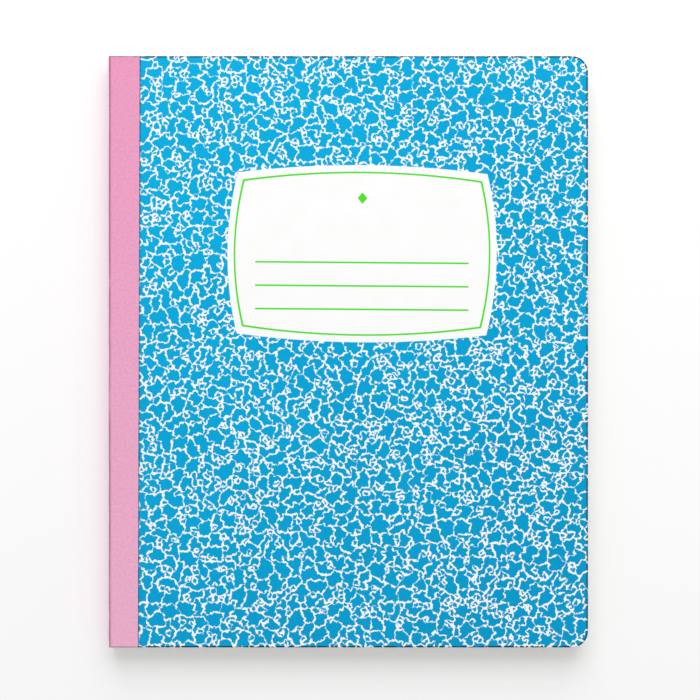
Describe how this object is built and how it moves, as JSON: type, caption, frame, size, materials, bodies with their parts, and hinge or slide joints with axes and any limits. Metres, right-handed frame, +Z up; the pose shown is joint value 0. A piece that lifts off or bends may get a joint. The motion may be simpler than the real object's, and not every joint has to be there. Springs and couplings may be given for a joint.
{
  "type": "composition notebook",
  "caption": "Sewn notebook with stiff marbled covers, rounded fore-edge corners, a blank title label and a pink cloth tape round its spine. Both covers open on the spine.",
  "frame": {"origin": "centre of the bounding box's bottom face, which the back cover's tape lies on", "axes": "+X from the spine to the fore-edge, +Y from the tail to the head, +Z up through the front cover"},
  "size_m": [0.1906, 0.235, 0.0103],
  "materials": {
    "marbled_paper": "smooth satin paper, printed in blue with a white crackle marble",
    "pasteboard": "dense grey pasteboard, matte",
    "endpaper": "plain uncoated white paper",
    "page_paper": "uncoated white writing paper, trimmed edges",
    "cloth_tape": "pink book cloth tape with a fine embossed grain, matte",
    "sewing_thread": "white cotton thread"
  },
  "bodies": {
    "leaves": {"page_block": "page_paper", "sewing_thread": "sewing_thread", "spine_tape": "cloth_tape"},
    "front_cover": {"front_board": "pasteboard", "front_facing_paper": "marbled_paper", "front_endpaper": "endpaper", "spine_tape_front_turn": "cloth_tape"},
    "back_cover": {"back_board": "pasteboard", "back_facing_paper": "marbled_paper", "back_endpaper": "endpaper", "spine_tape_back_turn": "cloth_tape"}
  },
  "joints": [
    {"name": "front_cover_hinge", "type": "hinge", "parent": "leaves", "child": "front_cover", "pos_m": [-0.0953, 0, 0.00899], "axis": [0, -1, 0], "range_deg": [0, 180]},
    {"name": "back_cover_hinge", "type": "hinge", "parent": "leaves", "child": "back_cover", "pos_m": [-0.0953, 0, 0.00135], "axis": [0, 1, 0], "range_deg": [0, 180]}
  ]
}
